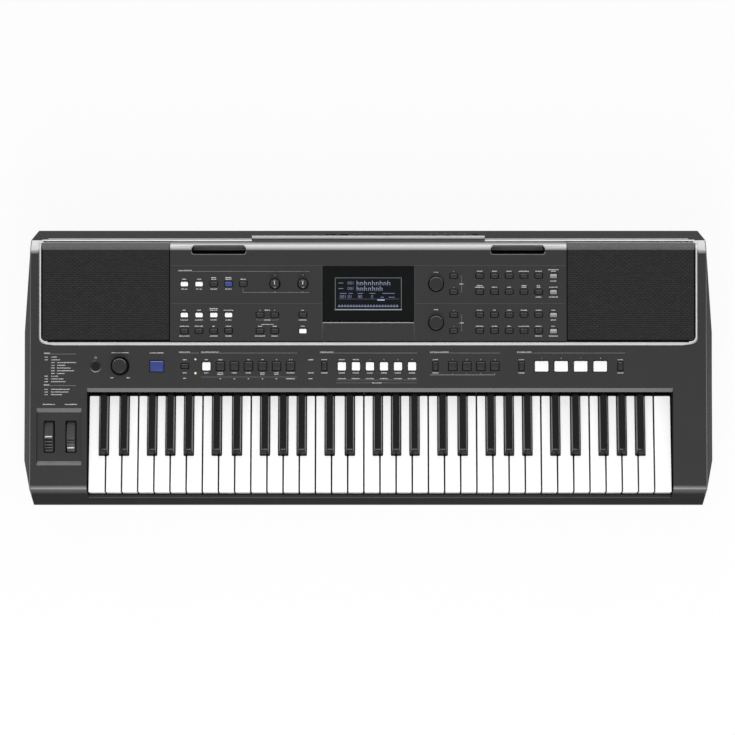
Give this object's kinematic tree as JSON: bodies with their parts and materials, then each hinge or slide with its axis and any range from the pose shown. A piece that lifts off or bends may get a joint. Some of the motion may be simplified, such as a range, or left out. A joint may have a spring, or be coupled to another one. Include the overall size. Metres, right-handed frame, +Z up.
{
  "type": "arranger keyboard",
  "caption": "Free-standing electronic arranger keyboard with sprung piano keys, raised control panel between two speaker grilles, display, buttons, knobs, dials and two wheels.",
  "frame": {"origin": "on the table, below the middle of the outline", "axes": "+X to the player's right, +Y away from the player, +Z up"},
  "size_m": [1.004, 0.412, 0.138],
  "materials": {
    "case_plastic": "fine satin grain",
    "side_plastic": "fine satin grain",
    "panel_plastic": "fine satin grain",
    "grille": "fine perforated weave",
    "silver_trim": "satin silver",
    "window": "smooth dark window",
    "lcd": "backlit segments on dark ground",
    "speaker": "pulp cone and painted basket",
    "circuit_board": "solder mask",
    "socket_plastic": "moulded black",
    "lamp": "clear lens",
    "frame_plastic": "moulded",
    "felt": "felt",
    "rubber_grey": "silicone",
    "screw_steel": "black zinc",
    "rubber_black": "moulded rubber",
    "wheel_plastic": "soft satin",
    "button_dark": "satin",
    "button_white": "satin",
    "button_blue": "satin",
    "button_grey": "satin",
    "knob_plastic": "satin",
    "key_white": "polished",
    "key_black": "satin"
  },
  "bodies": {
    "case": {"top_case": "case_plastic", "bottom_case": "case_plastic", "end_cap_left": "side_plastic", "end_cap_right": "side_plastic", "control_panel": "panel_plastic", "grille_left": "grille", "grille_right": "grille", "trim_frame": "silver_trim", "display_window": "window", "lcd_module": "lcd", "loudspeakers": "speaker", "circuit_boards": "circuit_board", "rear_panel": "case_plastic", "potentiometers": "socket_plastic", "indicator_lamps": "lamp", "key_frame": "frame_plastic", "key_felts": "felt", "contact_rubbers": "rubber_grey", "jack_sockets": "socket_plastic", "case_screws": "screw_steel", "rubber_feet": "rubber_black", "wheel_box": "frame_plastic"},
    "octave_1_c_e_g_b": {"octave_1_c_e_g_b": "key_white"},
    "octave_1_d_f_a": {"octave_1_d_f_a": "key_white"},
    "octave_1_sharps": {"octave_1_sharps": "key_black"},
    "octave_2_c_e_g_b": {"octave_2_c_e_g_b": "key_white"},
    "octave_2_d_f_a": {"octave_2_d_f_a": "key_white"},
    "octave_2_sharps": {"octave_2_sharps": "key_black"},
    "octave_3_c_e_g_b": {"octave_3_c_e_g_b": "key_white"},
    "octave_3_d_f_a": {"octave_3_d_f_a": "key_white"},
    "octave_3_sharps": {"octave_3_sharps": "key_black"},
    "octave_4_c_e_g_b": {"octave_4_c_e_g_b": "key_white"},
    "octave_4_d_f_a": {"octave_4_d_f_a": "key_white"},
    "octave_4_sharps": {"octave_4_sharps": "key_black"},
    "octave_5_c_e_g_b": {"octave_5_c_e_g_b": "key_white"},
    "octave_5_d_f_a": {"octave_5_d_f_a": "key_white"},
    "octave_5_sharps": {"octave_5_sharps": "key_black"},
    "top_c": {"top_c": "key_white"},
    "articulation_button": {"articulation_button": "button_blue"},
    "transport_buttons": {"transport_buttons": "button_dark"},
    "lower_white_buttons": {"lower_white_buttons": "button_white"},
    "registration_buttons": {"registration_buttons": "button_dark"},
    "narrow_buttons": {"narrow_buttons": "button_dark"},
    "pads": {"pads": "button_white"},
    "power_button": {"power_button": "button_dark"},
    "left_white_buttons": {"left_white_buttons": "button_white"},
    "left_dark_buttons": {"left_dark_buttons": "button_dark"},
    "motion_button": {"motion_button": "button_blue"},
    "dial_side_buttons": {"dial_side_buttons": "button_dark"},
    "voice_buttons": {"voice_buttons": "button_dark"},
    "style_buttons": {"style_buttons": "button_dark"},
    "function_buttons": {"function_buttons": "button_grey"},
    "volume_knob": {"volume_knob": "knob_plastic"},
    "control_knob_left": {"control_knob_left": "knob_plastic"},
    "control_knob_right": {"control_knob_right": "knob_plastic"},
    "voice_dial": {"voice_dial": "knob_plastic"},
    "style_dial": {"style_dial": "knob_plastic"},
    "pitch_wheel": {"pitch_wheel": "wheel_plastic"},
    "mod_wheel": {"mod_wheel": "wheel_plastic"}
  },
  "joints": [
    {"name": "octave_1_c_e_g_b_press", "type": "hinge", "parent": "case", "child": "octave_1_c_e_g_b", "pos_m": [0, 0.014, 0.065], "axis": [1, 0, 0], "range_deg": [0, 2.76], "stiffness_Nm_per_rad": 2, "springref_deg": -13.75},
    {"name": "octave_1_d_f_a_press", "type": "hinge", "parent": "case", "child": "octave_1_d_f_a", "pos_m": [0, 0.014, 0.065], "axis": [1, 0, 0], "range_deg": [0, 2.76], "stiffness_Nm_per_rad": 1.5, "springref_deg": -13.75},
    {"name": "octave_1_sharps_press", "type": "hinge", "parent": "case", "child": "octave_1_sharps", "pos_m": [0, 0.014, 0.065], "axis": [1, 0, 0], "range_deg": [0, 2.76], "stiffness_Nm_per_rad": 2, "springref_deg": -13.75},
    {"name": "octave_2_c_e_g_b_press", "type": "hinge", "parent": "case", "child": "octave_2_c_e_g_b", "pos_m": [0, 0.014, 0.065], "axis": [1, 0, 0], "range_deg": [0, 2.76], "stiffness_Nm_per_rad": 2, "springref_deg": -13.75},
    {"name": "octave_2_d_f_a_press", "type": "hinge", "parent": "case", "child": "octave_2_d_f_a", "pos_m": [0, 0.014, 0.065], "axis": [1, 0, 0], "range_deg": [0, 2.76], "stiffness_Nm_per_rad": 1.5, "springref_deg": -13.75},
    {"name": "octave_2_sharps_press", "type": "hinge", "parent": "case", "child": "octave_2_sharps", "pos_m": [0, 0.014, 0.065], "axis": [1, 0, 0], "range_deg": [0, 2.76], "stiffness_Nm_per_rad": 2, "springref_deg": -13.75},
    {"name": "octave_3_c_e_g_b_press", "type": "hinge", "parent": "case", "child": "octave_3_c_e_g_b", "pos_m": [0, 0.014, 0.065], "axis": [1, 0, 0], "range_deg": [0, 2.76], "stiffness_Nm_per_rad": 2, "springref_deg": -13.75},
    {"name": "octave_3_d_f_a_press", "type": "hinge", "parent": "case", "child": "octave_3_d_f_a", "pos_m": [0, 0.014, 0.065], "axis": [1, 0, 0], "range_deg": [0, 2.76], "stiffness_Nm_per_rad": 1.5, "springref_deg": -13.75},
    {"name": "octave_3_sharps_press", "type": "hinge", "parent": "case", "child": "octave_3_sharps", "pos_m": [0, 0.014, 0.065], "axis": [1, 0, 0], "range_deg": [0, 2.76], "stiffness_Nm_per_rad": 2, "springref_deg": -13.75},
    {"name": "octave_4_c_e_g_b_press", "type": "hinge", "parent": "case", "child": "octave_4_c_e_g_b", "pos_m": [0, 0.014, 0.065], "axis": [1, 0, 0], "range_deg": [0, 2.76], "stiffness_Nm_per_rad": 2, "springref_deg": -13.75},
    {"name": "octave_4_d_f_a_press", "type": "hinge", "parent": "case", "child": "octave_4_d_f_a", "pos_m": [0, 0.014, 0.065], "axis": [1, 0, 0], "range_deg": [0, 2.76], "stiffness_Nm_per_rad": 1.5, "springref_deg": -13.75},
    {"name": "octave_4_sharps_press", "type": "hinge", "parent": "case", "child": "octave_4_sharps", "pos_m": [0, 0.014, 0.065], "axis": [1, 0, 0], "range_deg": [0, 2.76], "stiffness_Nm_per_rad": 2, "springref_deg": -13.75},
    {"name": "octave_5_c_e_g_b_press", "type": "hinge", "parent": "case", "child": "octave_5_c_e_g_b", "pos_m": [0, 0.014, 0.065], "axis": [1, 0, 0], "range_deg": [0, 2.76], "stiffness_Nm_per_rad": 2, "springref_deg": -13.75},
    {"name": "octave_5_d_f_a_press", "type": "hinge", "parent": "case", "child": "octave_5_d_f_a", "pos_m": [0, 0.014, 0.065], "axis": [1, 0, 0], "range_deg": [0, 2.76], "stiffness_Nm_per_rad": 1.5, "springref_deg": -13.75},
    {"name": "octave_5_sharps_press", "type": "hinge", "parent": "case", "child": "octave_5_sharps", "pos_m": [0, 0.014, 0.065], "axis": [1, 0, 0], "range_deg": [0, 2.76], "stiffness_Nm_per_rad": 2, "springref_deg": -13.75},
    {"name": "top_c_press", "type": "hinge", "parent": "case", "child": "top_c", "pos_m": [0, 0.014, 0.065], "axis": [1, 0, 0], "range_deg": [0, 2.76], "stiffness_Nm_per_rad": 0.5, "springref_deg": -13.75},
    {"name": "articulation_button_press", "type": "slide", "parent": "case", "child": "articulation_button", "axis": [0, 0.1236, -0.9923], "range_m": [0, 0.001], "stiffness_N_per_m": 300, "springref_m": -0.003},
    {"name": "transport_buttons_press", "type": "slide", "parent": "case", "child": "transport_buttons", "axis": [0, 0.1236, -0.9923], "range_m": [0, 0.001], "stiffness_N_per_m": 300, "springref_m": -0.003},
    {"name": "lower_white_buttons_press", "type": "slide", "parent": "case", "child": "lower_white_buttons", "axis": [0, 0.1236, -0.9923], "range_m": [0, 0.001], "stiffness_N_per_m": 300, "springref_m": -0.003},
    {"name": "registration_buttons_press", "type": "slide", "parent": "case", "child": "registration_buttons", "axis": [0, 0.1236, -0.9923], "range_m": [0, 0.001], "stiffness_N_per_m": 300, "springref_m": -0.003},
    {"name": "narrow_buttons_press", "type": "slide", "parent": "case", "child": "narrow_buttons", "axis": [0, 0.1236, -0.9923], "range_m": [0, 0.001], "stiffness_N_per_m": 300, "springref_m": -0.003},
    {"name": "pads_press", "type": "slide", "parent": "case", "child": "pads", "axis": [0, 0.1236, -0.9923], "range_m": [0, 0.001], "stiffness_N_per_m": 300, "springref_m": -0.003},
    {"name": "power_button_press", "type": "slide", "parent": "case", "child": "power_button", "axis": [0, 0.1236, -0.9923], "range_m": [0, 0.001], "stiffness_N_per_m": 300, "springref_m": -0.003},
    {"name": "left_white_buttons_press", "type": "slide", "parent": "case", "child": "left_white_buttons", "axis": [0, 0.1547, -0.988], "range_m": [0, 0.001], "stiffness_N_per_m": 300, "springref_m": -0.003},
    {"name": "left_dark_buttons_press", "type": "slide", "parent": "case", "child": "left_dark_buttons", "axis": [0, 0.1547, -0.988], "range_m": [0, 0.001], "stiffness_N_per_m": 300, "springref_m": -0.003},
    {"name": "motion_button_press", "type": "slide", "parent": "case", "child": "motion_button", "axis": [0, 0.1547, -0.988], "range_m": [0, 0.001], "stiffness_N_per_m": 300, "springref_m": -0.003},
    {"name": "dial_side_buttons_press", "type": "slide", "parent": "case", "child": "dial_side_buttons", "axis": [0, 0.1547, -0.988], "range_m": [0, 0.001], "stiffness_N_per_m": 300, "springref_m": -0.003},
    {"name": "voice_buttons_press", "type": "slide", "parent": "case", "child": "voice_buttons", "axis": [0, 0.1547, -0.988], "range_m": [0, 0.001], "stiffness_N_per_m": 300, "springref_m": -0.003},
    {"name": "style_buttons_press", "type": "slide", "parent": "case", "child": "style_buttons", "axis": [0, 0.1547, -0.988], "range_m": [0, 0.001], "stiffness_N_per_m": 300, "springref_m": -0.003},
    {"name": "function_buttons_press", "type": "slide", "parent": "case", "child": "function_buttons", "axis": [0, 0.1547, -0.988], "range_m": [0, 0.001], "stiffness_N_per_m": 300, "springref_m": -0.003},
    {"name": "volume_knob_turn", "type": "hinge", "parent": "case", "child": "volume_knob", "pos_m": [-0.361, -0.01337, 0.1015], "axis": [0, -0.1236, 0.9923], "range_deg": [-145, 145]},
    {"name": "control_knob_left_turn", "type": "hinge", "parent": "case", "child": "control_knob_left", "pos_m": [-0.1358, 0.10375, 0.12538], "axis": [0, -0.1547, 0.988], "range_deg": [-140, 140]},
    {"name": "control_knob_right_turn", "type": "hinge", "parent": "case", "child": "control_knob_right", "pos_m": [-0.095, 0.10375, 0.12538], "axis": [0, -0.1547, 0.988], "range_deg": [-140, 140]},
    {"name": "voice_dial_turn", "type": "hinge", "parent": "case", "child": "voice_dial", "pos_m": [0.0984, 0.10375, 0.12538], "axis": [0, -0.1547, 0.988], "continuous": true},
    {"name": "style_dial_turn", "type": "hinge", "parent": "case", "child": "style_dial", "pos_m": [0.0984, 0.04793, 0.11664], "axis": [0, -0.1547, 0.988], "continuous": true},
    {"name": "pitch_wheel_turn", "type": "hinge", "parent": "case", "child": "pitch_wheel", "pos_m": [-0.464, -0.11224, 0.06601], "axis": [1, 0, 0], "range_deg": [-35, 35], "stiffness_Nm_per_rad": 0.06},
    {"name": "mod_wheel_turn", "type": "hinge", "parent": "case", "child": "mod_wheel", "pos_m": [-0.432, -0.11224, 0.06601], "axis": [-1, 0, 0], "range_deg": [0, 70]}
  ]
}
